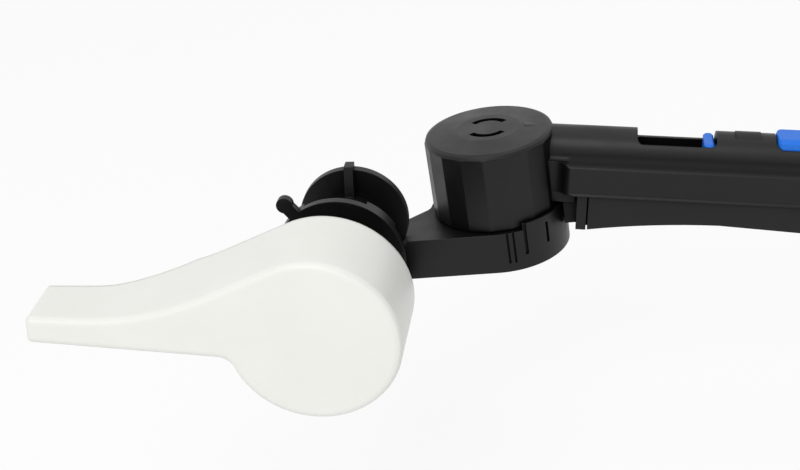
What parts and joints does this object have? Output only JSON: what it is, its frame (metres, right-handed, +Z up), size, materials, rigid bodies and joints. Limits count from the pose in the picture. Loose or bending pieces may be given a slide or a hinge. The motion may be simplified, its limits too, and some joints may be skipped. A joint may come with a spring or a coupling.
{
  "type": "cistern lever",
  "caption": "Front-mount cistern lever: hollow handle on a spindle through a wall bush with winged nut, driving a swivelling telescopic arm with a push-button lock and chain holes.",
  "frame": {"origin": "on the spindle's axis, in the plane of the gasket's rear face, which is the outer face of the tank wall", "axes": "+X along the arm to the right, +Y through the wall into the tank, +Z up"},
  "size_m": [0.2247, 0.0852, 0.0391],
  "materials": {
    "handle_white": "white, lightly polished",
    "black_plastic": "satin black moulding",
    "blue_plastic": "satin blue moulding",
    "gasket_rubber": "soft matt",
    "steel": "bright"
  },
  "bodies": {
    "mount": {"wall_bush": "black_plastic", "wall_gasket": "gasket_rubber"},
    "nut": {"mounting_nut": "black_plastic"},
    "crank": {"handle": "handle_white", "spindle": "black_plastic", "link": "black_plastic", "link_washer": "steel", "link_screw": "steel"},
    "arm": {"arm_sleeve": "black_plastic", "button_spring": "steel"},
    "extension": {"extension_arm": "black_plastic"},
    "lock": {"lock_rocker": "blue_plastic"}
  },
  "joints": [
    {"name": "flush", "type": "hinge", "parent": "mount", "child": "crank", "pos_m": [0, 0, 0], "axis": [0, -1, 0], "range_deg": [0, 35]},
    {"name": "nut_turn", "type": "hinge", "parent": "mount", "child": "nut", "pos_m": [0, 0, 0], "axis": [0, 1, 0], "continuous": true},
    {"name": "swivel", "type": "hinge", "parent": "crank", "child": "arm", "pos_m": [0.0317, 0.0475, 0], "axis": [0, 0, 1], "range_deg": [-20, 80]},
    {"name": "extend", "type": "slide", "parent": "arm", "child": "extension", "axis": [0.9897, 0, -0.1433], "range_m": [0, 0.024]},
    {"name": "lock_press", "type": "hinge", "parent": "arm", "child": "lock", "pos_m": [0.0897, 0.0475, 0.0014], "axis": [0, 1, 0], "range_deg": [0, 6], "stiffness_Nm_per_rad": 0.2, "springref_deg": -6.88, "deforming": ["button_spring"]}
  ]
}
